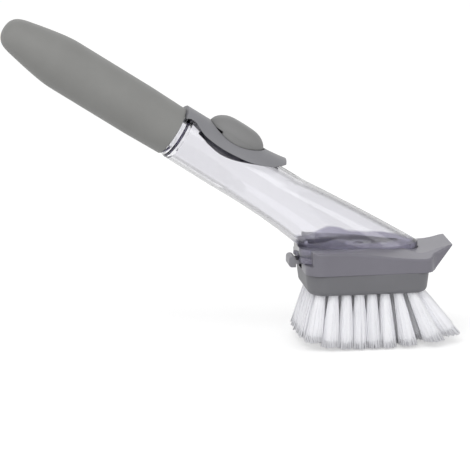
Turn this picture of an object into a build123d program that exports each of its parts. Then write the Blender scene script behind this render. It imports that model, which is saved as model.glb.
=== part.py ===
from build123d import *
import os
from math import atan2, cos, degrees, hypot, radians, sin

os.makedirs("parts", exist_ok=True)

# A soap-dispensing dish wand that stands on its bristles, its handle rising behind the heel.
# Lengths are in millimetres. The head is level: +X runs from its heel to its toe, +Z is up,
# and everything is alike on both sides of Y = 0.
# "Along" is the distance up the handle's axis from the point over the head's middle,
# and "out" is the distance from that axis.

running_gap = 0.3  # between pieces that move past each other
seat_gap = 0.05  # between curved faces that are fixed to each other
overrun = 2.0  # how far a cutting shape runs past what it cuts

# The handle's line over the head
handle_pitch = 33.15
axis_height = 48.9
pitch_cos = cos(radians(handle_pitch))
pitch_sin = sin(radians(handle_pitch))
axis_point = Vector(0, 0, axis_height)
up_handle = Vector(-pitch_cos, 0, pitch_sin)
out_of_top = Vector(pitch_sin, 0, pitch_cos)
handle_axis = Axis(tuple(axis_point), tuple(up_handle))
handle_side = Plane(origin=axis_point, x_dir=up_handle, z_dir=(0, 1, 0))
handle_top = Plane(origin=axis_point, x_dir=up_handle, z_dir=out_of_top)
handle_across = Plane(origin=axis_point, x_dir=out_of_top, z_dir=up_handle)

# Tank: a clear tube that flows into an oval foot
tank_wall = 2.2
tube_top_radius = 13.8
tube_low_radius = 15.2
tube_low_along = -10.0
shoulder_along = 122.4
collar_radius = 13.2
collar_length = 3.5
neck_radius = 10.0
neck_bore_radius = 8.0
neck_length = 17.5
blend_top_height = 88.0
# Level ovals between the tube and the foot, from the top down
blend_height = (71.0, 62.0)
blend_heel = (-60.2, -48.3)
blend_toe = (-2.4, 13.3)
blend_half_width = (15.4, 15.8)
foot_heel = -38.3
foot_toe = 27.7
foot_half_width = 15.9
foot_corner = 8.0
foot_bottom = 49.2
foot_top = 53.5
foot_slant_wall = 3.2  # the wall of the sloping heel and toe, measured level

# Thread between the tank's neck and the grip
thread_lead = 6.0
thread_start = 6.0  # from the shoulder
thread_turns_share = 1.25
thread_root_width = 1.8
thread_crest_width = 1.0
thread_height = 0.9
thread_sink = 0.3  # how deep the ridge's root lies in the wall that carries it

# Tank base: the foot's bottom plate with its rails, its groove and the valve's boss
base_thickness = 3.0
rail_overhang = 1.7
plug_thickness = 1.2
groove_half_width = 5.8
groove_depth = 2.2
stop_bar_heel = -32.5
stop_bar_length = 0.9
stop_bar_height = 1.7
valve_x = -5.0
valve_boss_radius = 7.0
valve_boss_height = 3.0
valve_pocket_radius = 5.0
valve_pocket_depth = 3.0
valve_rim = 1.5
valve_thickness = 1.8
valve_membrane = 0.7
valve_slit_length = 4.0
valve_slit_width = 0.3
outlet_radius = 3.0

# Button cover: a saddle on the tank's top with a strap towards the grip and a lip at its tip
# Lengths named "back" are measured down the handle from the strap's end
seat_depth = 0.8
strap_lap = 3.2  # how far the strap runs past the shoulder
strap_length = 12.7
strap_radius = 15.9
cover_body_back = 24.7
cover_body_radius = 16.5
cover_waist_back = 50.3
cover_waist_radius = 18.0
cover_rise_back = 56.6
cover_rise_radius = 18.7
cover_tip_back = 60.7
cover_tip_top = 19.3
cover_nose = 0.6
cover_nose_out = 18.4
cover_seat_back = 54.7
cover_lip_lift = 0.35
cover_tip_slant = 1.4
cover_above = 22.0
# Height of the cover's lower edge over the handle's axis, from the strap to the tip
cover_edge_back = (0.0, 6.2, 10.9, 16.7, 23.7, 33.7, 42.7, 51.7, 60.7)
cover_edge_out = (10.6, 11.4, 9.1, 7.8, 7.3, 7.8, 9.1, 12.1, 17.8)

# Button: a soft dome over a hard plunger
button_back = 30.7
button_half_length = 16.6
button_half_width = 11.0
button_travel = 1.6
button_skirt_out = 10.0
button_wall_out = 14.7
button_plate_out = 16.4
button_plate_inset = 1.6
button_skirt_wall = 2.0  # of the pad's side walls
button_post_half_length = 9.0
button_post_half_width = 5.0
# Rings of the dome: its height over the axis, and its length and width as shares of the rim's
dome_out = (15.7, 18.0, 20.3, 22.0, 23.0)
dome_length_shares = (0.995, 0.95, 0.83, 0.66, 0.34)
dome_width_shares = (0.985, 0.93, 0.79, 0.6, 0.3)

# Pump diaphragm: a rubber cup that hangs into the tank under the button
cup_half_length = 18.3
cup_half_width = 9.2
cup_wall = 1.0
cup_rim_width = 2.6
cup_rim_side = 1.2
cup_rim_thickness = 0.75
cup_floor_back = (8.7, 14.7, 25.7, 36.7, 50.7)
cup_floor_out = (7.8, 5.6, 3.5, 5.2, 9.6)

# Grip: a soft sleeve over a hard core
grip_joint_radius = 13.7
grip_radius = 14.2
# Lengths up the grip from its lower end
grip_swell_end = 21.0
grip_taper_start = 67.5
tail_length = (79.0, 87.0, 95.0, 102.5)
tail_radius = (13.1, 11.7, 10.1, 7.6)
grip_length = 105.9
core_length = 72.7
core_radius = 12.2
core_bore_radius = 11.4
bulkhead_thickness = 2.5
core_hollow_radius = 10.4
plug_length = 6.0
plug_pull_radius = 3.0
plug_pull_depth = 3.5
seal_thickness = 1.5
seal_radius = 11.1

# Head holder: the head's upper casing
holder_bottom = 41.0
holder_top = 53.5
holder_heel = -36.4
holder_half_width = 25.3
holder_shoulder_x = 31.0
holder_shoulder_half_width = 24.6
holder_neck_x = 33.5
holder_neck_half_width = 18.0
snout_tip_half_width = 12.5
snout_tip_x = 44.3
snout_tip_height = 53.4
snout_edge_thickness = 0.7
snout_root_x = 33.6
holder_heel_corner = 9.0
holder_wall_heel = -33.0  # where the side walls end, over the floor
holder_wall_round = 1.8
holder_shoulder_round = 6.0
holder_neck_round = 6.0
holder_top_round = 1.0
holder_top_slope = 0.6  # faces that look up more than this share count as its top
dip_x = (17.0, 26.5, 35.7)
dip_height = (52.2, 50.3, 51.5)
dip_start_x = 7.0
# Height of the holder's top at its sides, which drops towards the toe
side_drop_x = (-40.0, -17.0, -4.5, 3.0, 10.0, 16.0, 22.0, 28.0, 35.0, 40.0, 46.5)
side_drop_height = (53.2, 52.9, 51.9, 50.8, 49.7, 49.0, 48.4, 48.1, 48.3, 49.3, 51.4)
side_drop_slope = 0.25  # how fast the top rises from there towards the middle
holder_floor = 2.0
holder_skin = 2.8
holder_pocket_toe = 27.0
holder_pocket_corner = 5.0
soap_hole_radius = 3.6

# Release tab: a sprung tongue in the holder's floor
tab_pivot_x = -18.0
tab_half_width = 5.0
tab_slot_gap = 0.5
nub_heel = -43.2
nub_front = -39.3
nub_bottom = 42.0
nub_top = 48.0
nub_round = 1.8
catch_front = -32.9
catch_length = 1.9
catch_height = 1.5

# Brush block: carries the bristles and closes the holder's underside
block_bottom = 29.5
block_inset = 0.5
block_heel_corner = 11.0
block_toe_x = 31.2
block_toe_corner = 10.0
block_least_corner = 1.0
block_draft = 7.0
block_edge_round = 2.8
block_plug_height = 2.5
block_channel_gap = 1.2
block_channel_end = -14.0
block_channel_depth = 0.8
tray_depth = 3.0
tray_inset = 4.4
soap_tube_radius = 3.4
soap_tube_bore = 2.4
soap_tube_flange = 5.5
soap_tube_flange_thickness = 1.0

# Bristles: rings of tufts, each tuft a few strands that fan out
tuft_pitch = 7.0
tuft_radius = 1.1
tuft_hole_radius = 2.1
strands_in_tuft = 7
strand_width = 0.9
ring_insets = (6.8, 13.1, 19.2)
ring_split_insets = (10.0, 16.2)
strand_sink = 0.6  # how deep a strand's root lies in its tray
tuft_open_share = 2.5
fan_heel = 10.5
fan_toe = 25.0
fan_side = 8.0
tip_heel_rise = 10.0
tip_toe_rise = 3.0
tip_side_rise = 0.6
tip_cut = 0.5
floor_cut_size = 300.0
floor_cut_depth = 5.0
staple_length = 3.4
staple_width = 0.6
staple_height = 2.0
staple_hole_depth = 2.4

# Places along the handle that follow from the shoulder
collar_end_along = shoulder_along + collar_length
neck_end_along = shoulder_along + neck_length
thread_start_along = shoulder_along + thread_start
strap_end = shoulder_along + strap_lap
cover_tip_along = strap_end - cover_tip_back
cover_seat_along = strap_end - cover_seat_back
cover_edge_along = [strap_end - back for back in cover_edge_back]
button_along = strap_end - button_back
cup_floor_along = [strap_end - back for back in cup_floor_back]
grip_start_along = collar_end_along + running_gap
core_end_along = grip_start_along + core_length

# Heights that follow from the stack of foot, base, holder floor and tongue
base_bottom = foot_bottom - base_thickness
groove_ceiling = base_bottom + groove_depth
floor_top = base_bottom - running_gap
floor_bottom = floor_top - holder_floor
rail_half_width = foot_half_width + rail_overhang
block_plug_top = holder_bottom + block_plug_height
tray_top = block_bottom + tray_depth


def tube_radius(along):
    """The tank tube's outer radius at a distance up the handle."""
    share = (along - tube_low_along) / (shoulder_along - tube_low_along)
    return tube_low_radius + (tube_top_radius - tube_low_radius) * share


def seat_radius(along):
    """Radius of the shallow seat in the tank that the cover lies in."""
    return tube_radius(along) - seat_depth


def ring_profile(points):
    """A closed outline in the handle's side plane, for a turned piece."""
    with BuildSketch(handle_side) as profile:
        with BuildLine():
            Polyline(points, close=True)
        make_face()
    return profile.sketch


def foot_outline(half_width, toe, heel, corner, height):
    """Plan of the foot: straight sides, a rounded heel and an oval toe."""
    widest_x = (foot_heel + foot_toe) / 2
    with BuildSketch(Plane.XY.offset(height)) as outline:
        with Locations(((widest_x + heel) / 2, 0)):
            Rectangle(widest_x - heel, 2 * half_width)
        if corner > 0:
            fillet(outline.vertices().group_by(Axis.X)[0], corner)
        with Locations((widest_x, 0)):
            Ellipse(toe - widest_x, half_width)
    return outline.sketch


def oval(heel, toe, half_width, height):
    """A level ellipse between a heel and a toe."""
    with BuildSketch(Plane.XY.offset(height)) as outline:
        with Locations(((heel + toe) / 2, 0)):
            Ellipse((toe - heel) / 2, half_width)
    return outline.sketch


def tube_to_foot(radius_low, radius_top, end_along, heel_in, side_in, bottom):
    """The tube, cut level, and its smooth flow into the foot's oval."""
    with BuildPart() as tube:
        add(ring_profile([
            (tube_low_along, 0),
            (tube_low_along, radius_low),
            (end_along, radius_top),
            (end_along, 0),
        ]))
        revolve(axis=handle_axis)
        split(bisect_by=Plane.XY.offset(blend_top_height), keep=Keep.TOP)
        level_cut = tube.faces().filter_by(Axis.Z).sort_by(Axis.Z)[0]
        ovals = [
            oval(heel + heel_in, toe - heel_in, half_width - side_in, height).face()
            for heel, toe, half_width, height in zip(
                blend_heel, blend_toe, blend_half_width, blend_height
            )
        ]
        low = oval(foot_heel + heel_in, foot_toe - heel_in, foot_half_width - side_in, foot_top)
        loft(sections=[level_cut, *ovals, low.face()])
        if bottom < foot_top:
            extrude(to_extrude=low, amount=bottom - foot_top)
    return tube.part


def thread_ridge(wall_radius, direction):
    """A helical ridge that stands out (1) or in (-1) from a wall."""
    root = wall_radius - direction * thread_sink
    crest = wall_radius + direction * thread_height
    with BuildPart(mode=Mode.PRIVATE) as ridge:
        with BuildLine(Plane.XY) as path:
            Helix(
                pitch=thread_lead,
                height=thread_lead * thread_turns_share,
                radius=wall_radius,
            )
        with BuildSketch(Plane.XZ):
            with BuildLine():
                Polyline(
                    (root, -thread_root_width / 2),
                    (crest, -thread_crest_width / 2),
                    (crest, thread_crest_width / 2),
                    (root, thread_root_width / 2),
                    close=True,
                )
            make_face()
        sweep(path=path.line, is_frenet=True)
    return ridge.part


def on_handle(solid, along, turn=0):
    """Stands a solid on the handle's axis at a distance up it."""
    place = handle_across.offset(along).location * Location((0, 0, 0), (0, 0, turn))
    return solid.moved(place)


# Tank
outer_form = tube_to_foot(tube_low_radius, tube_top_radius, shoulder_along, 0, 0, foot_top)
inner_form = tube_to_foot(
    tube_low_radius - tank_wall,
    tube_top_radius - tank_wall,
    shoulder_along - tank_wall,
    foot_slant_wall,
    tank_wall,
    foot_bottom - overrun,
)
with BuildPart() as tank:
    add(outer_form)
    extrude(
        to_extrude=foot_outline(foot_half_width, foot_toe, foot_heel, foot_corner, foot_bottom),
        amount=foot_top - foot_bottom,
    )
    add(ring_profile([
        (shoulder_along - tank_wall, 0),
        (shoulder_along - tank_wall, collar_radius),
        (collar_end_along, collar_radius),
        (collar_end_along, neck_radius),
        (neck_end_along, neck_radius),
        (neck_end_along, 0),
    ]))
    revolve(axis=handle_axis)
    add(on_handle(thread_ridge(neck_radius, 1), thread_start_along))
    add(inner_form, mode=Mode.SUBTRACT)
    with BuildSketch(handle_across.offset(shoulder_along - tank_wall - overrun)):
        Circle(neck_bore_radius)
    extrude(amount=neck_end_along - shoulder_along + tank_wall + 2 * overrun, mode=Mode.SUBTRACT)


def cover_outline(gap):
    """Side view of the cover's region: everything above its lower edge."""
    edge = [(s, t - gap) for s, t in zip(cover_edge_along, cover_edge_out)]
    start = (edge[0][0] + gap, edge[0][1])
    end = (edge[-1][0] - gap, edge[-1][1])
    with BuildSketch(handle_side) as outline:
        with BuildLine():
            Spline([start] + edge[1:-1] + [end])
            Polyline(end, (end[0], cover_above), (start[0], cover_above), start)
        make_face()
    return outline.sketch


def top_oval(half_length, half_width, out):
    """An ellipse round the button, seen from above the tank."""
    with BuildSketch(handle_top.offset(out)) as outline:
        with Locations((button_along, 0)):
            Ellipse(half_length, half_width)
    return outline.sketch


# The seat for the cover, and the oval hole for the pump cup
with BuildPart() as cover_seat:
    seat_low = cover_seat_along - running_gap
    seat_high = collar_end_along + overrun
    add(ring_profile([
        (seat_low, seat_radius(seat_low)),
        (seat_high, seat_radius(seat_high)),
        (seat_high, cover_above),
        (seat_low, cover_above),
    ]))
    revolve(axis=handle_axis)
    extrude(to_extrude=cover_outline(seat_gap), amount=cover_above, both=True, mode=Mode.INTERSECT)

with BuildPart() as tank_finished:
    add(tank.part)
    add(cover_seat.part, mode=Mode.SUBTRACT)
    extrude(
        to_extrude=top_oval(cup_half_length + running_gap, cup_half_width + running_gap, 0),
        amount=cover_above,
        mode=Mode.SUBTRACT,
    )
tank_finished.part.label = "tank"

# Tank base
with BuildPart() as tank_base:
    extrude(
        to_extrude=foot_outline(
            rail_half_width, foot_toe + rail_overhang, foot_heel, foot_corner, base_bottom
        ),
        amount=base_thickness,
    )
    inner_plug = oval(
        foot_heel + foot_slant_wall + seat_gap,
        foot_toe - foot_slant_wall - seat_gap,
        foot_half_width - tank_wall - seat_gap,
        foot_bottom,
    )
    extrude(to_extrude=inner_plug, amount=plug_thickness)
    with BuildSketch(Plane.XY.offset(foot_bottom)):
        with Locations((valve_x, 0)):
            Circle(valve_boss_radius)
    extrude(amount=plug_thickness + valve_boss_height)
    groove_length = foot_toe - foot_heel + 2 * rail_overhang + 2 * overrun
    with BuildSketch(Plane.XY.offset(base_bottom)):
        with Locations((foot_heel - overrun + groove_length / 2, 0)):
            Rectangle(groove_length, 2 * groove_half_width)
    extrude(amount=groove_depth, mode=Mode.SUBTRACT)
    with BuildSketch(Plane.XY.offset(groove_ceiling)):
        with Locations((stop_bar_heel + stop_bar_length / 2, 0)):
            Rectangle(stop_bar_length, 2 * groove_half_width)
    extrude(amount=-stop_bar_height)
    with BuildSketch(Plane.XY.offset(groove_ceiling)):
        with Locations((valve_x, 0)):
            Circle(valve_pocket_radius)
    extrude(amount=valve_pocket_depth, mode=Mode.SUBTRACT)
    with BuildSketch(Plane.XY.offset(groove_ceiling)):
        with Locations((valve_x, 0)):
            Circle(outlet_radius)
    extrude(amount=valve_boss_height + base_thickness + overrun, mode=Mode.SUBTRACT)
tank_base.part.label = "tank_base"

# Outlet valve: a silicone disc with a crossed slit, and the ring that holds it
valve_top = groove_ceiling + valve_pocket_depth
with BuildPart() as outlet_valve:
    with BuildSketch(Plane.XY.offset(valve_top)):
        with Locations((valve_x, 0)):
            Circle(valve_pocket_radius - seat_gap)
    extrude(amount=-valve_thickness)
    with BuildSketch(Plane.XY.offset(valve_top)):
        with Locations((valve_x, 0)):
            Circle(valve_pocket_radius - valve_rim)
    extrude(amount=valve_membrane - valve_thickness, mode=Mode.SUBTRACT)
    with BuildSketch(Plane.XY.offset(valve_top)):
        with Locations((valve_x, 0)):
            Rectangle(valve_slit_length, valve_slit_width)
            Rectangle(valve_slit_width, valve_slit_length)
    extrude(amount=-valve_thickness, mode=Mode.SUBTRACT)
outlet_valve.part.label = "outlet_valve"

with BuildPart() as valve_ring:
    with BuildSketch(Plane.XY.offset(groove_ceiling)):
        with Locations((valve_x, 0)):
            Circle(valve_pocket_radius - seat_gap)
            Circle(outlet_radius, mode=Mode.SUBTRACT)
    extrude(amount=valve_pocket_depth - valve_thickness)
valve_ring.part.label = "valve_ring"

# Pump diaphragm: the region above the cup's floor, and the same one a wall higher
with BuildPart() as above_floor:
    with BuildSketch(handle_side):
        with BuildLine():
            floor_points = list(zip(cup_floor_along, cup_floor_out))
            Spline(floor_points)
            Polyline(
                floor_points[-1],
                (cup_floor_along[-1], cover_above),
                (cup_floor_along[0], cover_above),
                floor_points[0],
            )
        make_face()
    extrude(amount=cover_above, both=True)
raised_floor = above_floor.part.moved(Location(out_of_top * cup_wall))

with BuildPart() as cup_hollow:
    extrude(
        to_extrude=top_oval(cup_half_length - cup_wall, cup_half_width - cup_wall, 0),
        amount=cover_above,
    )
    add(raised_floor, mode=Mode.INTERSECT)

with BuildPart() as cup_space:
    rim_low = cover_seat_along + running_gap
    add(ring_profile([
        (rim_low, 0),
        (rim_low, seat_radius(rim_low) + seat_gap + cup_rim_thickness),
        (strap_end, seat_radius(strap_end) + seat_gap + cup_rim_thickness),
        (strap_end, 0),
    ]))
    revolve(axis=handle_axis)

with BuildPart() as rim_body:
    add(ring_profile([
        (rim_low, seat_radius(rim_low) + seat_gap),
        (strap_end, seat_radius(strap_end) + seat_gap),
        (strap_end, cover_above),
        (rim_low, cover_above),
    ]))
    revolve(axis=handle_axis)
    extrude(
        to_extrude=top_oval(
            cup_half_length + cup_rim_width, cup_half_width + cup_rim_side, 0
        ),
        amount=cover_above,
        mode=Mode.INTERSECT,
    )

with BuildPart() as pump_diaphragm:
    extrude(to_extrude=top_oval(cup_half_length, cup_half_width, 0), amount=cover_above)
    add(above_floor.part, mode=Mode.INTERSECT)
    add(rim_body.part)
    add(cup_space.part, mode=Mode.INTERSECT)
    add(cup_hollow.part, mode=Mode.SUBTRACT)
pump_diaphragm.part.label = "pump_diaphragm"

# Button cover
with BuildPart() as button_cover:
    add(ring_profile([
        (strap_end, seat_radius(strap_end) + seat_gap),
        (strap_end, strap_radius),
        (strap_end - strap_length, strap_radius),
        (strap_end - cover_body_back, cover_body_radius),
        (strap_end - cover_waist_back, cover_waist_radius),
        (strap_end - cover_rise_back, cover_rise_radius),
        (cover_tip_along + cover_nose, cover_tip_top),
        (cover_tip_along, cover_nose_out),
        (cover_tip_along + cover_tip_slant, tube_radius(cover_tip_along) + cover_lip_lift),
        (cover_seat_along, tube_radius(cover_seat_along) + cover_lip_lift),
        (cover_seat_along, seat_radius(cover_seat_along) + seat_gap),
    ]))
    revolve(axis=handle_axis)
    extrude(to_extrude=cover_outline(0), amount=cover_above, both=True, mode=Mode.INTERSECT)
    extrude(
        to_extrude=top_oval(
            button_half_length + running_gap, button_half_width + running_gap, 0
        ),
        amount=cover_above,
        mode=Mode.SUBTRACT,
    )

with BuildPart() as rim_relief:
    extrude(
        to_extrude=top_oval(
            cup_half_length + cup_rim_width + seat_gap, cup_half_width + cup_rim_side + seat_gap, 0
        ),
        amount=cover_above,
    )
    add(
        cup_space.part.moved(Location(out_of_top * seat_gap)),
        mode=Mode.INTERSECT,
    )

with BuildPart() as button_cover_finished:
    add(button_cover.part)
    add(rim_relief.part, mode=Mode.SUBTRACT)
button_cover_finished.part.label = "button_cover"

# Button pad: the dome, its underside clear of the seat when it is pressed
with BuildPart() as dome:
    extrude(
        to_extrude=top_oval(button_half_length, button_half_width, button_skirt_out),
        amount=dome_out[0] - button_skirt_out,
    )
    rings = [
        top_oval(button_half_length * a, button_half_width * b, out).face()
        for out, a, b in zip(dome_out, dome_length_shares, dome_width_shares)
    ]
    loft(sections=rings)

with BuildPart() as rim_guard:
    guard = seat_gap + cup_rim_thickness + running_gap
    add(ring_profile([
        (rim_low, 0),
        (rim_low, seat_radius(rim_low) + guard),
        (strap_end, seat_radius(strap_end) + guard),
        (strap_end, 0),
    ]))
    revolve(axis=handle_axis)
    extrude(
        to_extrude=top_oval(cup_half_length - cup_wall, cup_half_width - cup_wall, 0),
        amount=cover_above,
        mode=Mode.SUBTRACT,
    )

with BuildPart() as pressed_seat:
    add(rim_guard.part)
    lifted = handle_across.offset(cover_tip_along)
    with BuildSketch(lifted):
        with Locations((button_travel + running_gap, 0)):
            Circle(seat_radius(button_along) + running_gap)
        middle_half = button_half_width - button_skirt_wall
        Rectangle(2 * cover_above, 2 * middle_half, mode=Mode.SUBTRACT)
    extrude(amount=strap_end - cover_tip_along)
    with BuildSketch(lifted):
        with Locations((button_wall_out / 2, 0)):
            Rectangle(button_wall_out, 2 * middle_half)
    extrude(amount=strap_end - cover_tip_along)

plate_half_length = button_half_length - button_plate_inset
plate_half_width = button_half_width - button_skirt_wall
with BuildPart() as button_pad:
    add(dome.part)
    add(pressed_seat.part, mode=Mode.SUBTRACT)
    extrude(
        to_extrude=top_oval(
            plate_half_length, plate_half_width - seat_gap, button_wall_out - overrun
        ),
        amount=button_plate_out - button_wall_out + overrun,
        mode=Mode.SUBTRACT,
    )
button_pad.part.label = "button_pad"

# Button core: a plate under the pad and a post that reaches the cup's floor
post_bottom_out = min(cup_floor_out) + cup_wall + running_gap
with BuildPart() as button_core:
    extrude(
        to_extrude=top_oval(
            plate_half_length - seat_gap, plate_half_width - 2 * seat_gap, button_wall_out
        ),
        amount=button_plate_out - button_wall_out,
    )
    extrude(
        to_extrude=top_oval(button_post_half_length, button_post_half_width, button_wall_out),
        amount=post_bottom_out - button_wall_out,
    )
    add(
        raised_floor.moved(Location(out_of_top * running_gap)),
        mode=Mode.INTERSECT,
    )
button_core.part.label = "button_core"

# Grip sleeve: a turned soft skin with a closed, rounded tail
with BuildPart() as grip_sleeve:
    with BuildSketch(handle_side):
        with BuildLine():
            Polyline(
                (grip_start_along, core_radius),
                (grip_start_along, grip_joint_radius),
                (grip_start_along + grip_swell_end, grip_radius),
                (grip_start_along + grip_taper_start, grip_radius),
            )
            Spline(
                (grip_start_along + grip_taper_start, grip_radius),
                *[(grip_start_along + s, r) for s, r in zip(tail_length, tail_radius)],
                (grip_start_along + grip_length, 0),
                tangents=((1, 0), (0, -1)),
            )
            Polyline(
                (grip_start_along + grip_length, 0),
                (core_end_along, 0),
                (core_end_along, core_radius),
                (grip_start_along, core_radius),
            )
        make_face()
    revolve(axis=handle_axis)
grip_sleeve.part.label = "grip_sleeve"

# Grip core: hard tube with the inner thread and a bulkhead over the tank's mouth
bulkhead_along = neck_end_along + seal_thickness
with BuildPart() as grip_core:
    add(ring_profile([
        (grip_start_along, core_bore_radius),
        (grip_start_along, core_radius),
        (core_end_along, core_radius),
        (core_end_along, core_hollow_radius),
        (bulkhead_along + bulkhead_thickness, core_hollow_radius),
        (bulkhead_along + bulkhead_thickness, 0),
        (bulkhead_along, 0),
        (bulkhead_along, core_bore_radius),
    ]))
    revolve(axis=handle_axis)
    add(on_handle(thread_ridge(core_bore_radius, -1), thread_start_along, 180))
grip_core.part.label = "grip_core"

with BuildPart() as core_plug:
    add(ring_profile([
        (core_end_along, 0),
        (core_end_along, core_hollow_radius - seat_gap),
        (core_end_along - plug_length, core_hollow_radius - seat_gap),
        (core_end_along - plug_length, plug_pull_radius),
        (core_end_along - plug_length + plug_pull_depth, plug_pull_radius),
        (core_end_along - plug_length + plug_pull_depth, 0),
    ]))
    revolve(axis=handle_axis)
core_plug.part.label = "core_plug"

with BuildPart() as neck_seal:
    add(ring_profile([
        (neck_end_along, neck_bore_radius),
        (neck_end_along, seal_radius),
        (bulkhead_along, seal_radius),
        (bulkhead_along, neck_bore_radius),
    ]))
    revolve(axis=handle_axis)
neck_seal.part.label = "neck_seal"


def head_plan():
    """Plan of the holder: straight sides, a short shoulder by the toe, and a snout."""
    with BuildSketch(Plane.XY.offset(holder_bottom)) as plan:
        with BuildLine():
            Polyline(
                (holder_heel, 0),
                (holder_heel, holder_half_width),
                (holder_shoulder_x, holder_shoulder_half_width),
                (holder_neck_x, holder_neck_half_width),
                (snout_tip_x, snout_tip_half_width),
                (snout_tip_x, 0),
                close=True,
            )
        make_face()
        corners = (
            ((holder_heel, holder_half_width), holder_heel_corner),
            ((holder_shoulder_x, holder_shoulder_half_width), holder_shoulder_round),
            ((holder_neck_x, holder_neck_half_width), holder_neck_round),
        )
        for (x, y), radius in corners:
            fillet(plan.vertices().sort_by_distance((x, y, holder_bottom))[0], radius)
        mirror(about=Plane.XZ)
    return plan.sketch


def rounded_box(heel, toe, half_width, heel_corner, toe_corner, height):
    """A level rectangle with one round for its heel corners and one for its toe corners."""
    with BuildSketch(Plane.XY.offset(height)) as outline:
        with Locations(((heel + toe) / 2, 0)):
            Rectangle(toe - heel, 2 * half_width)
        fillet(outline.vertices().group_by(Axis.X)[0], heel_corner)
        fillet(outline.vertices().group_by(Axis.X)[-1], toe_corner)
    return outline.sketch


def holder_pocket(gap, height):
    """The hollow under the holder's floor, or the block's plug in it."""
    return rounded_box(
        holder_heel + holder_skin + gap,
        holder_pocket_toe - gap,
        holder_half_width - holder_skin - gap,
        block_least_corner,
        holder_pocket_corner,
        height,
    )


# What lies over the holder's sloping sides
with BuildPart() as over_sides:
    side_drop = [(x, z - side_drop_slope * overrun) for x, z in zip(side_drop_x, side_drop_height)]
    for side in (-1, 1):
        with BuildSketch(Plane.XZ.offset(-side * (holder_half_width + overrun))):
            with BuildLine():
                Spline(side_drop)
                Polyline(
                    side_drop[-1],
                    (side_drop[-1][0], 2 * holder_top),
                    (side_drop[0][0], 2 * holder_top),
                    side_drop[0],
                )
            make_face()
        extrude(amount=holder_half_width, dir=(0, -side, side_drop_slope))

# Head holder
with BuildPart() as holder_form:
    extrude(to_extrude=head_plan(), amount=holder_top - holder_bottom + overrun)
    with BuildSketch(Plane.XZ):
        with BuildLine():
            Polyline(
                (dip_start_x, holder_top),
                (holder_heel - overrun, holder_top),
                (holder_heel - overrun, holder_bottom),
                (snout_root_x, holder_bottom),
                (snout_tip_x, snout_tip_height - snout_edge_thickness),
                (snout_tip_x, snout_tip_height),
            )
            Spline(
                (snout_tip_x, snout_tip_height),
                *reversed(list(zip(dip_x, dip_height))),
                (dip_start_x, holder_top),
            )
        make_face()
    extrude(amount=2 * holder_half_width, both=True, mode=Mode.INTERSECT)
    add(over_sides.part, mode=Mode.SUBTRACT)
    with BuildSketch(Plane.XY.offset(floor_top)):
        with Locations(((holder_wall_heel + holder_heel - overrun) / 2, 0)):
            Rectangle(holder_wall_heel - holder_heel + overrun, 2 * holder_half_width)
    extrude(amount=holder_top, mode=Mode.SUBTRACT)
    wall_corners = holder_form.edges().filter_by(Axis.Z).filter_by(
        lambda e: abs(e.center().X - holder_wall_heel) < seat_gap
    )
    fillet(wall_corners, holder_wall_round)
    # The side's rim is rounded on one half, and the half is mirrored
    split(bisect_by=Plane.XZ, keep=Keep.TOP)
    top_faces = [
        face
        for face in holder_form.faces()
        if face.normal_at().Z > holder_top_slope and face.center().Z > floor_top + overrun
    ]
    rim = [edge for face in top_faces for edge in face.edges()]
    outer_rim = [
        edge
        for edge in rim
        if sum(edge.is_same(other) for other in rim) == 1
        and abs(edge.center().Y) > seat_gap
        and holder_wall_heel + overrun < edge.center().X < snout_tip_x - overrun
    ]
    fillet(outer_rim, holder_top_round)
    mirror(about=Plane.XZ)

with BuildPart() as head_holder:
    add(holder_form.part)
    extrude(
        to_extrude=foot_outline(
            rail_half_width + running_gap,
            foot_toe + rail_overhang + running_gap,
            holder_heel - overrun,
            0,
            floor_top,
        ),
        amount=base_thickness + 2 * running_gap,
        mode=Mode.SUBTRACT,
    )
    extrude(
        to_extrude=foot_outline(
            foot_half_width + running_gap,
            foot_toe + running_gap,
            holder_heel - overrun,
            0,
            floor_top,
        ),
        amount=holder_top,
        mode=Mode.SUBTRACT,
    )
    extrude(
        to_extrude=holder_pocket(0, holder_bottom),
        amount=floor_bottom - holder_bottom,
        mode=Mode.SUBTRACT,
    )
    slot_half = tab_half_width + tab_slot_gap
    with BuildSketch(Plane.XY.offset(holder_bottom - overrun)):
        with Locations(((holder_heel - overrun + tab_pivot_x) / 2, 0)):
            Rectangle(tab_pivot_x - holder_heel + overrun, 2 * slot_half)
    extrude(amount=floor_top - holder_bottom + 2 * overrun, mode=Mode.SUBTRACT)
    with BuildSketch(Plane.XZ):
        with Locations((tab_pivot_x, floor_top - holder_floor / 2)):
            Circle(holder_floor / 2 + seat_gap)
    extrude(amount=slot_half, both=True, mode=Mode.SUBTRACT)
    with BuildSketch(Plane.XY.offset(holder_bottom)):
        with Locations((valve_x, 0)):
            Circle(soap_hole_radius)
    extrude(amount=floor_top - holder_bottom + overrun, mode=Mode.SUBTRACT)
head_holder.part.label = "head_holder"

# Release tab
with BuildPart() as release_tab:
    with BuildSketch(Plane.XZ):
        with Locations((tab_pivot_x, floor_top - holder_floor / 2)):
            Circle(holder_floor / 2)
        with BuildLine():
            Polyline(
                (tab_pivot_x, floor_bottom),
                (nub_front, floor_bottom),
                (nub_front, nub_bottom),
                (nub_heel, nub_bottom),
                (nub_heel, nub_top),
                (nub_front, nub_top),
                (nub_front, floor_top),
                (catch_front - catch_length, floor_top),
                (catch_front, floor_top + catch_height),
                (catch_front, floor_top),
                (tab_pivot_x, floor_top),
                close=True,
            )
        make_face()
    extrude(amount=tab_half_width, both=True)
    nub_edges = release_tab.edges().filter_by(Axis.Y).filter_by(
        lambda e: e.center().Z > nub_top - seat_gap or e.center().X < nub_heel + seat_gap
    )
    fillet(nub_edges, nub_round)
release_tab.part.label = "release_tab"


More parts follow.
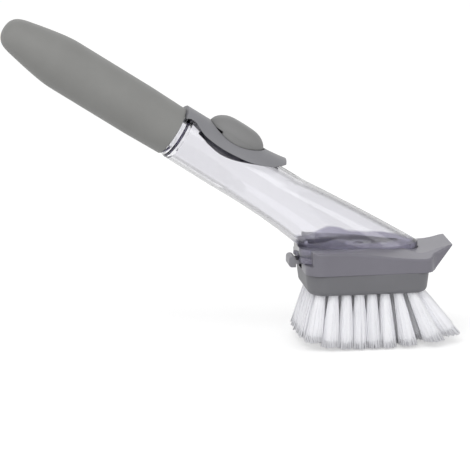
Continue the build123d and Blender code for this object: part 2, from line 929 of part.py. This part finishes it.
def block_plan(inset, height):
    """Plan of the block, drawn in by an inset."""
    return rounded_box(
        holder_heel + block_inset + inset,
        block_toe_x - inset,
        holder_half_width - block_inset - inset,
        max(block_heel_corner - inset, block_least_corner),
        max(block_toe_corner - inset, block_least_corner),
        height,
    )


# Bristle layout: tufts evenly along each ring, over the block's underside
def ring_places(inset):
    """Centres of the tufts along one ring."""
    wire = block_plan(inset, 0).face().outer_wire()
    heel_share = wire.param_at_point((holder_heel + block_inset + inset, 0, 0))
    count = round(wire.length / tuft_pitch)
    return [wire.position_at((heel_share + (i + 0.5) / count) % 1) for i in range(count)]


tuft_rings = [ring_places(inset) for inset in ring_insets]
tuft_rings[-1] = [
    p for p in tuft_rings[-1] if hypot(p.X - valve_x, p.Y) > soap_tube_radius + tuft_hole_radius
]
heel_reach = min(p.X for p in tuft_rings[0])
toe_reach = max(p.X for p in tuft_rings[0])
side_reach = max(p.Y for p in tuft_rings[0])


def tip_place(x, y):
    """Where a strand that is rooted at x, y ends."""
    heel_share = max(0, x / heel_reach)
    toe_share = max(0, x / toe_reach)
    side_share = y / side_reach
    tip_x = x - fan_heel * heel_share ** 2 + fan_toe * toe_share ** 2
    tip_y = y + fan_side * side_share * abs(side_share)
    rise = tip_heel_rise * heel_share ** 4 + tip_toe_rise * toe_share ** 3
    return Vector(tip_x, tip_y, rise + tip_side_rise * side_share ** 2 - tip_cut)


def strand(root, tip, turn):
    """One tapered four-sided bristle between two points."""
    line = tip - root
    ends = []
    for point in (root, tip):
        with BuildSketch(Plane(origin=point, x_dir=(1, 0, 0), z_dir=line)) as end:
            Rectangle(strand_width, strand_width, rotation=turn)
        ends.append(end.sketch.face())
    return Solid.make_loft([end.outer_wire() for end in ends], ruled=True)


def tuft_strands(place):
    """The strands of one tuft: one in the middle and a ring that opens towards the tips."""
    tuft_tip = tip_place(place.X, place.Y)
    strands = []
    for i in range(strands_in_tuft):
        turn = 360 * i / (strands_in_tuft - 1)
        away = tuft_radius if i else 0
        shift = Vector(away * cos(radians(turn)), away * sin(radians(turn)), 0)
        root = Vector(place.X, place.Y, block_bottom + strand_sink) + shift
        strands.append(strand(root, tuft_tip + shift * tuft_open_share, turn))
    return strands


def tray(outer_inset, inner_inset):
    """A flat ring, or a plate, that one group of tufts is rooted in."""
    with BuildPart() as plate:
        extrude(to_extrude=block_plan(outer_inset + seat_gap, block_bottom), amount=tray_depth)
        if inner_inset:
            extrude(
                to_extrude=block_plan(inner_inset, block_bottom),
                amount=tray_depth,
                mode=Mode.SUBTRACT,
            )
        else:
            with BuildSketch(Plane.XY.offset(block_bottom)):
                with Locations((valve_x, 0)):
                    Circle(soap_tube_radius + seat_gap)
            extrude(amount=tray_depth, mode=Mode.SUBTRACT)
    return plate.part


tray_insets = (tray_inset,) + ring_split_insets + (0,)
bristle_names = ("bristles_outer", "bristles_middle", "bristles_inner")
with BuildPart() as floor_cut:
    with BuildSketch():
        Rectangle(floor_cut_size, floor_cut_size)
    extrude(amount=-floor_cut_depth)
bristle_parts = []
for index, name in enumerate(bristle_names):
    plate = tray(tray_insets[index], tray_insets[index + 1])
    strands = [s for place in tuft_rings[index] for s in tuft_strands(place)]
    bristles = plate.fuse(*strands).cut(floor_cut.part)
    bristles = Part(bristles.wrapped)
    bristles.label = name
    bristle_parts.append(bristles)
    print(name, len(tuft_rings[index]), "tufts", len(strands), "strands")

all_tufts = [place for ring in tuft_rings for place in ring]

# Brush block
with BuildPart() as block_body:
    extrude(
        to_extrude=block_plan(0, holder_bottom),
        amount=-(holder_bottom - block_bottom),
        taper=block_draft,
    )
    fillet(block_body.faces().sort_by(Axis.Z)[0].edges(), block_edge_round)

with BuildPart() as brush_block:
    add(block_body.part)
    extrude(to_extrude=holder_pocket(running_gap, holder_bottom), amount=block_plug_height)
    with BuildSketch(Plane.XY.offset(holder_bottom - block_channel_depth)):
        with Locations(((holder_heel - overrun + block_channel_end) / 2, 0)):
            Rectangle(
                block_channel_end - holder_heel + overrun,
                2 * (tab_half_width + block_channel_gap),
            )
    extrude(amount=block_plug_height + overrun, mode=Mode.SUBTRACT)
    extrude(
        to_extrude=block_plan(tray_inset, block_bottom - overrun),
        amount=tray_depth + overrun,
        mode=Mode.SUBTRACT,
    )
    with BuildSketch(Plane.XY.offset(block_bottom)):
        with Locations(*[(place.X, place.Y) for place in all_tufts]):
            Circle(tuft_hole_radius)
    extrude(amount=tray_depth + staple_hole_depth, mode=Mode.SUBTRACT)
    with BuildSketch(Plane.XY.offset(block_bottom)):
        with Locations((valve_x, 0)):
            Circle(soap_tube_radius + seat_gap)
    extrude(amount=block_plug_top - block_bottom, mode=Mode.SUBTRACT)
    with BuildSketch(Plane.XY.offset(block_plug_top - soap_tube_flange_thickness)):
        with Locations((valve_x, 0)):
            Circle(soap_tube_flange + seat_gap)
    extrude(amount=soap_tube_flange_thickness, mode=Mode.SUBTRACT)
brush_block.part.label = "brush_block"

# Soap tube: leads the soap from the holder's hole down to the bristles
with BuildPart() as soap_tube:
    with BuildSketch(Plane.XY.offset(block_bottom)):
        with Locations((valve_x, 0)):
            Circle(soap_tube_radius)
    extrude(amount=floor_bottom - block_bottom)
    with BuildSketch(Plane.XY.offset(block_plug_top - soap_tube_flange_thickness)):
        with Locations((valve_x, 0)):
            Circle(soap_tube_flange)
    extrude(amount=soap_tube_flange_thickness)
    with BuildSketch(Plane.XY.offset(block_bottom)):
        with Locations((valve_x, 0)):
            Circle(soap_tube_bore)
    extrude(amount=floor_bottom - block_bottom, mode=Mode.SUBTRACT)
soap_tube.part.label = "soap_tube"

# Tuft staples: flat wire anchors over each tuft's root, square to the line from the middle
staple_solids = []
for place in all_tufts:
    turn = degrees(atan2(place.Y, place.X))
    with BuildPart() as staple:
        with BuildSketch(Plane.XY.offset(tray_top)):
            with Locations((place.X, place.Y)):
                Rectangle(staple_width, staple_length, rotation=turn)
        extrude(amount=staple_height)
    staple_solids.append(staple.part.solid())
tuft_staples = Compound(label="tuft_staples", children=staple_solids)

finished = [
    grip_sleeve.part,
    grip_core.part,
    core_plug.part,
    neck_seal.part,
    tank_finished.part,
    tank_base.part,
    outlet_valve.part,
    valve_ring.part,
    pump_diaphragm.part,
    button_cover_finished.part,
    button_pad.part,
    button_core.part,
    head_holder.part,
    release_tab.part,
    brush_block.part,
    soap_tube.part,
    tuft_staples,
] + bristle_parts

# The origin is on the floor under the middle of the whole wand's box
tail_x = min(piece.bounding_box().min.X for piece in finished)
toe_x = max(piece.bounding_box().max.X for piece in finished)
stand = Location((-(tail_x + toe_x) / 2, 0, 0))
print("head's middle at x =", round(-(tail_x + toe_x) / 2, 4))
for piece in finished:
    placed = piece.moved(stand)
    placed.label = piece.label
    export_step(placed, "parts/" + piece.label + ".step")
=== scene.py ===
import math
import random
from collections import namedtuple

import bmesh
import bpy
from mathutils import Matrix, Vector


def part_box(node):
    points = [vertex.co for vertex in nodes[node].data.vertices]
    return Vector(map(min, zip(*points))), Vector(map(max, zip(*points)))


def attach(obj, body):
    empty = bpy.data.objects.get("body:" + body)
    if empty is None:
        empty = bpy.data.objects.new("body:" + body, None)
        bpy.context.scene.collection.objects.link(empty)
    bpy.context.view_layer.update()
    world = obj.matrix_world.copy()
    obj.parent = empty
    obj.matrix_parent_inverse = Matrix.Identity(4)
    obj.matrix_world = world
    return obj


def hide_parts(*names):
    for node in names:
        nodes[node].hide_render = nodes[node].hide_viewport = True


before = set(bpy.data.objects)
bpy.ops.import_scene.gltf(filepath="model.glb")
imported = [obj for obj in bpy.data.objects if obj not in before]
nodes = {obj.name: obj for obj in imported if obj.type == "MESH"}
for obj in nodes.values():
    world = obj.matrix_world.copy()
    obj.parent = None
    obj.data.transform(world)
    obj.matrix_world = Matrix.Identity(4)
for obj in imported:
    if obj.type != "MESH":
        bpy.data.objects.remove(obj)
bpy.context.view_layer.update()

# The CAD design frame, in millimetres: the head's middle is X = 0, and the floor is Z = 0
heel_x = -36.4
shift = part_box("head_holder")[0].x * 1000 - heel_x


def mm(x, y, z):
    """A point of the design frame, in scene metres."""
    return Vector(((x + shift) / 1000, y / 1000, z / 1000))


pitch = math.radians(33.15)
axis_start = Vector((0, 0, 48.9))
up_handle = Vector((-math.cos(pitch), 0, math.sin(pitch)))
out_of_top = Vector((math.sin(pitch), 0, math.cos(pitch)))


def on_handle(along, out, side=0):
    """A point by its distance up the handle's axis, out of its top and to its side."""
    p = axis_start + up_handle * along + out_of_top * out
    return mm(p.x, side, p.z)


def linear(hexcode):
    """An sRGB colour code as a linear colour."""
    values = [int(hexcode[i : i + 2], 16) / 255 for i in (0, 2, 4)]
    return tuple(v / 12.92 if v <= 0.04045 else ((v + 0.055) / 1.055) ** 2.4 for v in values)


class Nodes:
    """The node tree of a material or world, with a short way to add and link nodes."""

    def __init__(self, owner):
        owner.use_nodes = True
        self.owner = owner
        self.tree = owner.node_tree
        self.shader = self.tree.nodes.get("Principled BSDF")

    def add(self, kind, **values):
        """A new node. values are its properties, or its inputs, with _ for a space."""
        node = self.tree.nodes.new(kind)
        for key, value in values.items():
            if hasattr(node, key):
                setattr(node, key, value)
            else:
                node.inputs[key.replace("_", " ")].default_value = value
        return node

    def link(self, a, b):
        """Feed output a into input b."""
        self.tree.links.new(a, b)

    def place(self):
        """The place on the object, in metres."""
        return self.add("ShaderNodeTexCoord").outputs["Object"]

    def noise(self, scale, detail=2.0):
        """Cloudy noise by the place on the object."""
        node = self.add("ShaderNodeTexNoise", Scale=scale, Detail=detail)
        self.link(self.place(), node.inputs["Vector"])
        return node.outputs["Fac"]

    def ramp(self, value, low, high, start=0.0, end=1.0):
        """The colour for a value: low up to start, and high from end."""
        node = self.add("ShaderNodeValToRGB")
        stops = zip(node.color_ramp.elements, (start, end), (low, high))
        for stop, position, colour in stops:
            stop.position = position
            stop.color = (*colour, 1)
        self.link(value, node.inputs["Fac"])
        return node.outputs["Color"]

    def spread(self, value, start=0.0, end=1.0, low=0.0, high=1.0, kind="LINEAR"):
        """A value from start to end, spread from low to high."""
        node = self.add("ShaderNodeMapRange", interpolation_type=kind)
        ends = {"From Min": start, "From Max": end, "To Min": low, "To Max": high}
        for name, number in ends.items():
            node.inputs[name].default_value = number
        self.link(value, node.inputs["Value"])
        return node.outputs["Result"]

    def maths(self, operation, *values):
        """An operation on values, each of which is a number or a node's output."""
        node = self.add("ShaderNodeMath", operation=operation)
        for value, socket in zip(values, node.inputs):
            if isinstance(value, (int, float)):
                socket.default_value = value
            else:
                self.link(value, socket)
        return node.outputs["Value"]

    def multiply(self, colour, share=None, by=None, tint=None):
        """A colour multiplied by an output or a tint, all over or by a share."""
        node = self.add("ShaderNodeMix", data_type="RGBA", blend_type="MULTIPLY")
        self.link(colour, node.inputs["A"])
        if share is None:
            node.inputs["Factor"].default_value = 1.0
        else:
            self.link(share, node.inputs["Factor"])
        if by is None:
            node.inputs["B"].default_value = (*tint, 1)
        else:
            self.link(by, node.inputs["B"])
        return node.outputs["Result"]


def new_material(name):
    """The nodes of a new material."""
    return Nodes(bpy.data.materials.new(name))


# Materials: the sizes of a rubbed, lightened edge and of a crease's painted shade in metres,
# the product of the bevelled normal and the surface's own where the rub and its painted
# highlight start and where they are whole, and how far the roughness varies
edge_radius = 0.0007
crease_reach = 0.0016
rub_starts, rub_whole = 0.99, 0.8
rough_swing = 0.05


def moulded(
    name, colour, roughness, grain=0.35, depth=0.02, mottle=0.05, edge_wear_and_highlight=0.24, sheen=0.0, crease_shade=0.0
):
    """Moulded plastic or rubber: fine grain, faint mottling, and edges lightened partly by
    rubbing and partly by a painted highlight. grain and depth are the size and height of the
    surface grain in millimetres, the wear share is how far an edge is lightened, and the
    crease share is how far painted shade darkens a crease."""
    m = new_material(name)
    fine = m.noise(1000 / grain)
    dark = tuple(c * (1 - mottle) for c in colour)
    light = tuple(min(1, c * (1 + mottle)) for c in colour)
    paint = m.ramp(m.noise(45.0, 4.0), dark, light, 0.3, 0.7)

    # An edge is where the bevelled normal leaves the surface's own
    soft = m.add("ShaderNodeBevel", samples=6, Radius=edge_radius).outputs["Normal"]
    turned = m.add("ShaderNodeVectorMath", operation="DOT_PRODUCT")
    m.link(soft, turned.inputs[0])
    m.link(m.add("ShaderNodeNewGeometry").outputs["Normal"], turned.inputs[1])
    edge = m.spread(turned.outputs["Value"], rub_starts, rub_whole)
    # Edges are lightened: partly rubbed wear, partly a painted highlight where a rounded edge
    # catches the light
    rubbed_and_lit = m.add("ShaderNodeMix", data_type="RGBA")
    m.link(m.maths("MULTIPLY", edge, edge_wear_and_highlight), rubbed_and_lit.inputs["Factor"])
    m.link(paint, rubbed_and_lit.inputs["A"])
    rubbed_and_lit.inputs["B"].default_value = (*(min(1, c * 1.35 + 0.02) for c in colour), 1)
    paint = rubbed_and_lit.outputs["Result"]

    # Painted shade: ambient occlusion darkens creases by this share
    if crease_shade:
        crease = m.add("ShaderNodeAmbientOcclusion", samples=8, Distance=crease_reach)
        paint = m.multiply(paint, by=m.spread(crease.outputs["AO"], 0.5, 0.92, 1 - crease_shade))
    m.link(paint, m.shader.inputs["Base Color"])

    rough = m.spread(fine, low=roughness - rough_swing, high=roughness + rough_swing)
    m.link(rough, m.shader.inputs["Roughness"])
    bump = m.add("ShaderNodeBump", Strength=0.6, Distance=depth / 1000)
    m.link(fine, bump.inputs["Height"])
    m.link(soft, bump.inputs["Normal"])
    m.link(bump.outputs["Normal"], m.shader.inputs["Normal"])
    if sheen:
        m.shader.inputs["Sheen Weight"].default_value = sheen
        m.shader.inputs["Sheen Roughness"].default_value = 0.5
    return m.owner


# Where clear walls are thick, in millimetres of the scene's frame: up to the height top, with
# blur either side, and up to rise higher within reach of middle along X. There they have the
# tint, partly a deeper tint of the thick walls and partly painted refraction of the grey
# holder seen through them, and let this share of the light through.
ThickWallsAndRefraction = namedtuple("ThickWallsAndRefraction", "top blur middle reach rise tint through")


def clear(name, colour, edge, haze=0.0, thick_and_refracted=None):
    """Clear moulded plastic with a slight tint and faint flow ripples. Seen edge on it darkens
    towards edge, partly a deeper tint and partly painted shade. haze is the share of light that
    it scatters, and the last argument its thick walls, whose tint is partly deeper and partly
    painted refraction."""
    m = new_material(name)
    bump = m.add("ShaderNodeBump", Strength=0.25, Distance=0.00003)
    m.link(m.noise(90.0), bump.inputs["Height"])
    m.link(bump.outputs["Normal"], m.shader.inputs["Normal"])
    # Edge on, the colour darkens towards edge: partly a deeper tint, partly painted shade for the
    # darker surroundings that the edges refract
    slant = m.add("ShaderNodeLayerWeight", Blend=0.5)
    paint = m.ramp(slant.outputs["Facing"], colour, edge, 0.43, 0.6)
    m.shader.inputs["Transmission Weight"].default_value = 1.0 - haze
    # Below the top, and higher over the hump, the colour takes the tint: partly the thick walls'
    # deeper tint, partly painted refraction of the grey holder behind them
    if thick_and_refracted:
        place = m.add("ShaderNodeSeparateXYZ")
        m.link(m.place(), place.inputs["Vector"])
        away = m.maths("SUBTRACT", place.outputs["X"], thick_and_refracted.middle / 1000)
        away = m.maths("ABSOLUTE", away)
        refraction_hump = m.spread(away, 0.0, thick_and_refracted.reach / 1000, thick_and_refracted.rise / 1000, 0.0, "SMOOTHSTEP")
        height = m.maths("SUBTRACT", place.outputs["Z"], refraction_hump)
        thin = (thick_and_refracted.top + thick_and_refracted.blur) / 1000
        full = (thick_and_refracted.top - thick_and_refracted.blur) / 1000
        depth = m.spread(height, thin, full, kind="SMOOTHSTEP")
        paint = m.multiply(paint, share=depth, tint=thick_and_refracted.tint)
        through = m.spread(depth, low=1.0, high=thick_and_refracted.through)
        m.link(through, m.shader.inputs["Transmission Weight"])
    m.link(paint, m.shader.inputs["Base Color"])
    m.shader.inputs["Roughness"].default_value = 0.03
    m.shader.inputs["IOR"].default_value = 1.49
    return m.owner


def nylon(name, colour):
    """White nylon bristle, faintly streaked."""
    m = new_material(name)
    dark = tuple(c * 0.96 for c in colour)
    light = tuple(min(1, c * 1.02) for c in colour)
    m.link(m.ramp(m.noise(700.0), dark, light), m.shader.inputs["Base Color"])
    m.shader.inputs["Roughness"].default_value = 0.45
    m.shader.inputs["IOR"].default_value = 1.53
    return m.owner


def steel_wire(name):
    """Bare drawn wire."""
    m = new_material(name)
    m.shader.inputs["Metallic"].default_value = 1.0
    m.shader.inputs["Roughness"].default_value = 0.3
    drawn = m.add("ShaderNodeTexNoise", Scale=1500.0).outputs["Fac"]
    shade = m.ramp(drawn, (0.5, 0.5, 0.52), (0.7, 0.7, 0.72))
    m.link(shade, m.shader.inputs["Base Color"])
    return m.owner


grip_rubber = moulded("soft_touch_grip", linear("848482"), 0.62, grain=0.3, depth=0.03, sheen=0.15)
core_plastic = moulded("core_plastic", linear("6c6c6c"), 0.5)
silicone = moulded("silicone", linear("c9c9cc"), 0.45, mottle=0.02)
# The painted refraction's hump is seen 45.4 mm towards the heel from the tank's toe end
foot_walls_and_refraction = ThickWallsAndRefraction(
    top=56.0,
    blur=0.7,
    middle=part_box("tank")[1].x * 1000 - 45.4,
    reach=13.0,
    rise=3.2,
    tint=(0.67, 0.65, 0.77),
    through=0.72,
)
clear_plastic = clear(
    "clear_plastic", (0.855, 0.852, 0.878), (0.37, 0.37, 0.375), thick_and_refracted=foot_walls_and_refraction
)
# The shoulder fillet's plastic, tinted near black: painted shade for the dark line at the tank's
# step
shaded_clear_fillet = clear("shaded_clear_fillet", (0.11, 0.1, 0.17), (0.07, 0.06, 0.11))
clear_base = clear("clear_base", (0.6, 0.57, 0.72), (0.26, 0.25, 0.34), haze=0.3)
dark_rubber = moulded("dark_rubber", linear("3a3845"), 0.45)
cover_plastic = moulded("cover_plastic", linear("808084"), 0.42, grain=0.5, depth=0.012)
# Pad, tab and block get painted shade in their creases
pad_rubber = moulded("pad_rubber", linear("7f7f7f"), 0.58, grain=0.3, sheen=0.1, crease_shade=0.4)
# The holder's edges are lightened more: partly rubbing, partly a painted highlight on its rims
holder_plastic = moulded(
    "holder_plastic", linear("75737c"), 0.34, grain=0.5, depth=0.01, edge_wear_and_highlight=0.64
)
# The tab is the holder's plastic painted lighter: painted light for the light that falls on its
# heel-facing side
tab_plastic_painted_lighter = moulded(
    "tab_plastic_painted_lighter", linear("8f8e93"), 0.42, grain=0.5, depth=0.01, edge_wear_and_highlight=0.48, crease_shade=0.5
)
block_plastic = moulded("block_plastic", linear("6f6f73"), 0.48, grain=0.4, crease_shade=0.7)
white_nylon = nylon("white_nylon", linear("f9f9fd"))
staple_wire = steel_wire("staple_wire")

finishes = {
    "grip_sleeve": grip_rubber,
    "grip_core": core_plastic,
    "core_plug": core_plastic,
    "neck_seal": silicone,
    "tank": clear_plastic,
    "tank_base": clear_base,
    "outlet_valve": silicone,
    "valve_ring": clear_plastic,
    "pump_diaphragm": dark_rubber,
    "button_cover": cover_plastic,
    "button_pad": pad_rubber,
    "button_core": core_plastic,
    "head_holder": holder_plastic,
    "release_tab": tab_plastic_painted_lighter,
    "brush_block": block_plastic,
    "soap_tube": block_plastic,
    "tuft_staples": staple_wire,
}
for name, finish in finishes.items():
    mesh = nodes[name].data
    if not mesh.materials:
        mesh.materials.append(finish)
    for i in range(len(mesh.materials)):
        mesh.materials[i] = finish


def new_piece(name, bm, material, body, smooth=True):
    """A finished piece of the object, made of a bmesh and riding on a body."""
    mesh = bpy.data.meshes.new(name)
    bm.to_mesh(mesh)
    bm.free()
    mesh.materials.append(material)
    for face in mesh.polygons:
        face.use_smooth = smooth
    piece = bpy.data.objects.new(name, mesh)
    bpy.context.scene.collection.objects.link(piece)
    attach(piece, body)
    return piece


def join_rings(bm, rings):
    """The faces between each ring of corners and the next one."""
    for low, high in zip(rings, rings[1:]):
        for k in range(len(low)):
            n = (k + 1) % len(low)
            bm.faces.new((low[k], low[n], high[n], high[k]))


# The moulded fillet in the step from the tank's shoulder to its collar, which shows as a dark
# line: its clear plastic is tinted near black, painted shade for the dark line that the step's
# refraction shows. Its section, as distances along the handle's axis and out from it
fillet_section = [(122.35, 13.15), (122.35, 13.77), (123.1, 13.65), (123.7, 13.15)]
fillet_steps = 96
fillet = bmesh.new()
hoops = []
for k in range(fillet_steps):
    turn = 2 * math.pi * k / fillet_steps
    hoop = [
        fillet.verts.new(on_handle(along, reach * math.cos(turn), reach * math.sin(turn)))
        for along, reach in fillet_section
    ]
    hoops.append(hoop)
join_rings(fillet, hoops + hoops[:1])
bmesh.ops.recalc_face_normals(fillet, faces=fillet.faces)
new_piece("shoulder_fillet", fillet, shaded_clear_fillet, "tank")


# Tufts: each one is rooted where its staple is
def loose_centres(node):
    """The middle of each separate solid in a node, in design millimetres."""
    bm = bmesh.new()
    bm.from_mesh(nodes[node].data)
    bmesh.ops.remove_doubles(bm, verts=bm.verts, dist=1e-6)
    seen, centres = set(), []
    for start in bm.verts:
        if start in seen:
            continue
        group, stack = [], [start]
        seen.add(start)
        while stack:
            v = stack.pop()
            group.append(v.co)
            for e in v.link_edges:
                other = e.other_vert(v)
                if other not in seen:
                    seen.add(other)
                    stack.append(other)
        xs = [c.x for c in group]
        ys = [c.y for c in group]
        centres.append((500 * (min(xs) + max(xs)) - shift, 500 * (min(ys) + max(ys))))
    bm.free()
    return centres


tuft_places = loose_centres("tuft_staples")
heel_reach = min(x for x, y in tuft_places)
toe_reach = max(x for x, y in tuft_places)
side_reach = max(y for x, y in tuft_places)
block_bottom = 29.5
root_sunk = 1.5
root_radius = 2.3
strands_in_tuft = 96
strand_sides = 4
strand_radii = (0.2, 0.25, 0.3, 0.33)
# How far a strand's tip, its bow and its length stray, and how much shorter the outer ones are
tip_scatter = 0.2
bow_scatter = 0.14
length_scatter = (-0.2, 0.4)
outer_short = 0.35
# How wide a tuft's tips spread in the middle, and how much more at the heel and toe
tip_spread, heel_spread, toe_spread = 4.5, 0.7, 1.9
# How far the outermost tips fan out, and how high they end, at the heel, toe and sides
heel_fan, toe_fan, side_fan = 5.0, 17.5, 5.0
heel_rise, toe_rise, side_rise = 5.0, 4.4, 0.6
# The bundle that the strands are packed into: its shares of the way down, and there its
# shares of the spread
heart_shares = (0, 0.3, 0.6, 0.86, 0.95)
heart_spreads = (0, 0.34, 0.64, 0.84, 0.6)
heart_fill = 0.95
heart_flutes = 18
flute_depth = 0.07
floor_gap = 0.02


def tip_place(x, y):
    """Where the middle of a tuft that is rooted at x, y ends."""
    heel = max(0, x / heel_reach)
    toe = max(0, x / toe_reach)
    side = y / side_reach
    rise = heel_rise * heel**4 + toe_rise * toe**3 + side_rise * side**2
    out = x - heel_fan * heel**2 + toe_fan * toe**2
    return Vector((out, y + side_fan * side * abs(side), rise))


def tip_radius(x):
    """How wide a tuft's tips spread: more where the tufts fan out."""
    heel = max(0, x / heel_reach)
    toe = max(0, x / toe_reach)
    return tip_spread + heel_spread * heel**2 + toe_spread * toe**2


def add_tube(bm, points, radii, count, turn, groove=0.0):
    """A thin prism through points, closed at its tip, its sides grooved by a share."""
    rings = []
    for i, p in enumerate(points):
        a = points[max(0, i - 1)]
        b = points[min(len(points) - 1, i + 1)]
        along = (b - a).normalized()
        side = along.cross(Vector((0, 1, 0))).normalized()
        other = along.cross(side)
        ring = []
        for k in range(count):
            angle = turn + k * 2 * math.pi / count
            reach = radii[i] * (1 - groove * (k % 2))
            q = p + (side * math.cos(angle) + other * math.sin(angle)) * reach
            ring.append(bm.verts.new(mm(q.x, q.y, max(floor_gap, q.z))))
        rings.append(ring)
    join_rings(bm, rings)
    bm.faces.new(rings[-1])


dice = random.Random(7)
golden = math.pi * (3 - math.sqrt(5))


def add_strand(bm, root_middle, tip_middle, spread, i, twist):
    """Strand i of a tuft, from its place at the root to its place among the tips."""
    share = math.sqrt((i + 0.5) / strands_in_tuft)
    angle = i * golden + twist
    spoke = Vector((math.cos(angle), math.sin(angle), 0)) * share
    root = root_middle + spoke * root_radius
    jitter = Vector((dice.gauss(0, tip_scatter), dice.gauss(0, tip_scatter), 0))
    tip = tip_middle + spoke * spread + jitter
    tip.z += outer_short * share**2 + dice.uniform(*length_scatter)
    bow = Vector((dice.gauss(0, bow_scatter), dice.gauss(0, bow_scatter), 0))
    middle = root.lerp(tip, 0.4) + spoke * 0.15 + bow
    points = [root, middle, root.lerp(tip, 0.75) + bow, tip]
    add_tube(bm, points, strand_radii, strand_sides, dice.uniform(0, 2))


tufts = bmesh.new()
for x, y in tuft_places:
    tip_middle = tip_place(x, y)
    spread = tip_radius(x)
    root_middle = Vector((x, y, block_bottom + root_sunk))
    heart = [root_middle.lerp(tip_middle, s) for s in heart_shares]
    widths = [(root_radius + (spread - root_radius) * s) * heart_fill for s in heart_spreads]
    add_tube(tufts, heart, widths, 2 * heart_flutes, x, flute_depth)
    for i in range(strands_in_tuft):
        add_strand(tufts, root_middle, tip_middle, spread, i, x)
bristles = new_piece("bristles", tufts, white_nylon, "head")
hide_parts("bristles_outer", "bristles_middle", "bristles_inner")

# The block's underside between the tufts fills the pocket that their trays sit in
pocket_depth = 3.0
underside_thick = 2.6


def pocket_outline():
    """The pocket's outline in the block, in design millimetres."""
    points = []
    for v in nodes["brush_block"].data.vertices:
        if abs(v.co.z * 1000 - block_bottom - pocket_depth) < 0.02:
            points.append((v.co.x * 1000 - shift, v.co.y * 1000))
    points = sorted(set((round(a, 3), round(b, 3)) for a, b in points))

    def half(ps):
        """One side of the outline: the points that turn the same way."""
        chain = []
        for p in ps:
            while len(chain) > 1 and (
                (chain[-1][0] - chain[-2][0]) * (p[1] - chain[-2][1])
                - (chain[-1][1] - chain[-2][1]) * (p[0] - chain[-2][0])
            ) <= 0:
                chain.pop()
            chain.append(p)
        return chain

    lower, upper = half(points), half(points[::-1])
    return lower[:-1] + upper[:-1]


under = bmesh.new()
rim = pocket_outline()
low = [under.verts.new(mm(x, y, block_bottom)) for x, y in rim]
high = [under.verts.new(mm(x, y, block_bottom + underside_thick)) for x, y in rim]
under.faces.new(low[::-1])
under.faces.new(high)
join_rings(under, [low, high])
new_piece("block_underside", under, block_plastic, "head", smooth=False)

# Camera: the photograph's view, from the front left and a little above
photo_size = 470
photo_middle = 235
pixel = 0.54  # millimetres
origin_seen = (366, 338)  # the pixel where the design frame's origin is seen
azimuth, elevation = math.radians(-9), math.radians(13.3)
away = Vector(
    (
        math.sin(azimuth) * math.cos(elevation),
        -math.cos(azimuth) * math.cos(elevation),
        math.sin(elevation),
    )
)
right = Vector((math.cos(azimuth), math.sin(azimuth), 0))
above = away.cross(right)
target = right * (photo_middle - origin_seen[0]) * pixel
target += above * (origin_seen[1] - photo_middle) * pixel
distance = 2.4
sensor = 36
camera = bpy.data.cameras.new("photo_camera")
camera.sensor_width = sensor
camera.lens = sensor * distance * 1000 / (photo_size * pixel)
camera.clip_end = 20
photo_camera = bpy.data.objects.new("photo_camera", camera)
photo_camera.location = mm(*target) + away * distance
photo_camera.rotation_euler = away.to_track_quat("Z", "Y").to_euler()
bpy.context.scene.collection.objects.link(photo_camera)
bpy.context.scene.camera = photo_camera


# Studio: white surroundings, a pale floor that keeps the shadow, and soft boxes
def ray_is_seen(m):
    """1 for rays that should see the white background: camera, glossy and clear ones."""
    path = m.add("ShaderNodeLightPath").outputs
    direct = m.maths("MAXIMUM", path["Is Camera Ray"], path["Is Glossy Ray"])
    return m.maths("MAXIMUM", direct, path["Is Transmission Ray"])


def choose(m, usual, seen):
    """The shader usual, but seen for the rays that should see the background."""
    node = m.add("ShaderNodeMixShader")
    m.link(ray_is_seen(m), node.inputs["Fac"])
    m.link(usual, node.inputs[1])
    m.link(seen, node.inputs[2])
    return node.outputs[0]


world = bpy.data.worlds.new("studio")
bpy.context.scene.world = world
sky = Nodes(world)
ambient = sky.tree.nodes["Background"]
ambient.inputs["Color"].default_value = (1, 1, 1, 1)
ambient.inputs["Strength"].default_value = 0.55
white = sky.add("ShaderNodeBackground", Color=(1, 1, 1, 1), Strength=1.0)
background = choose(sky, ambient.outputs[0], white.outputs[0])
sky.link(background, sky.tree.nodes["World Output"].inputs["Surface"])

floor_half = 6
corners = [(-1, -1), (1, -1), (1, 1), (-1, 1)]
floor_mesh = bpy.data.meshes.new("floor")
places = [(a * floor_half, b * floor_half, 0) for a, b in corners]
floor_mesh.from_pydata(places, [], [(0, 1, 2, 3)])
floor = bpy.data.objects.new("floor", floor_mesh)
bpy.context.scene.collection.objects.link(floor)
paint = new_material("floor_paint")
paint.shader.inputs["Base Color"].default_value = (0.66, 0.66, 0.66, 1)
paint.shader.inputs["Roughness"].default_value = 0.9
paint.shader.inputs["Specular IOR Level"].default_value = 0.0
glow = paint.add("ShaderNodeEmission", Strength=0.5)
lit = paint.shader.outputs[0]
glowing = paint.add("ShaderNodeAddShader")
paint.link(lit, glowing.inputs[0])
paint.link(glow.outputs[0], glowing.inputs[1])
surface = choose(paint, lit, glowing.outputs[0])
paint.link(surface, paint.tree.nodes["Material Output"].inputs["Surface"])
floor_mesh.materials.append(paint.owner)


def soft_box(name, place, aim, size, power):
    """A square soft light at a place, turned towards a point."""
    light = bpy.data.lights.new(name, "AREA")
    light.size = size
    light.energy = power
    lamp = bpy.data.objects.new(name, light)
    lamp.location = place
    lamp.rotation_euler = (Vector(place) - Vector(aim)).to_track_quat("Z", "Y").to_euler()
    bpy.context.scene.collection.objects.link(lamp)


wand_middle = (0, 0, 0.07)
head_low = (0.1, 0, 0.03)
soft_box("key", (-0.5, -1.0, 1.5), wand_middle, 0.9, 7.5)
soft_box("fill", (1.2, -0.9, 0.7), wand_middle, 0.9, 4)
soft_box("front", (-0.3, -1.7, 0.3), head_low, 1.2, 6.3)
soft_box("left", (-1.5, -0.3, 0.6), wand_middle, 0.7, 3.2)
soft_box("back", (0.2, 1.3, 1.1), wand_middle, 0.8, 2.5)

bpy.context.scene.view_settings.view_transform = "Standard"
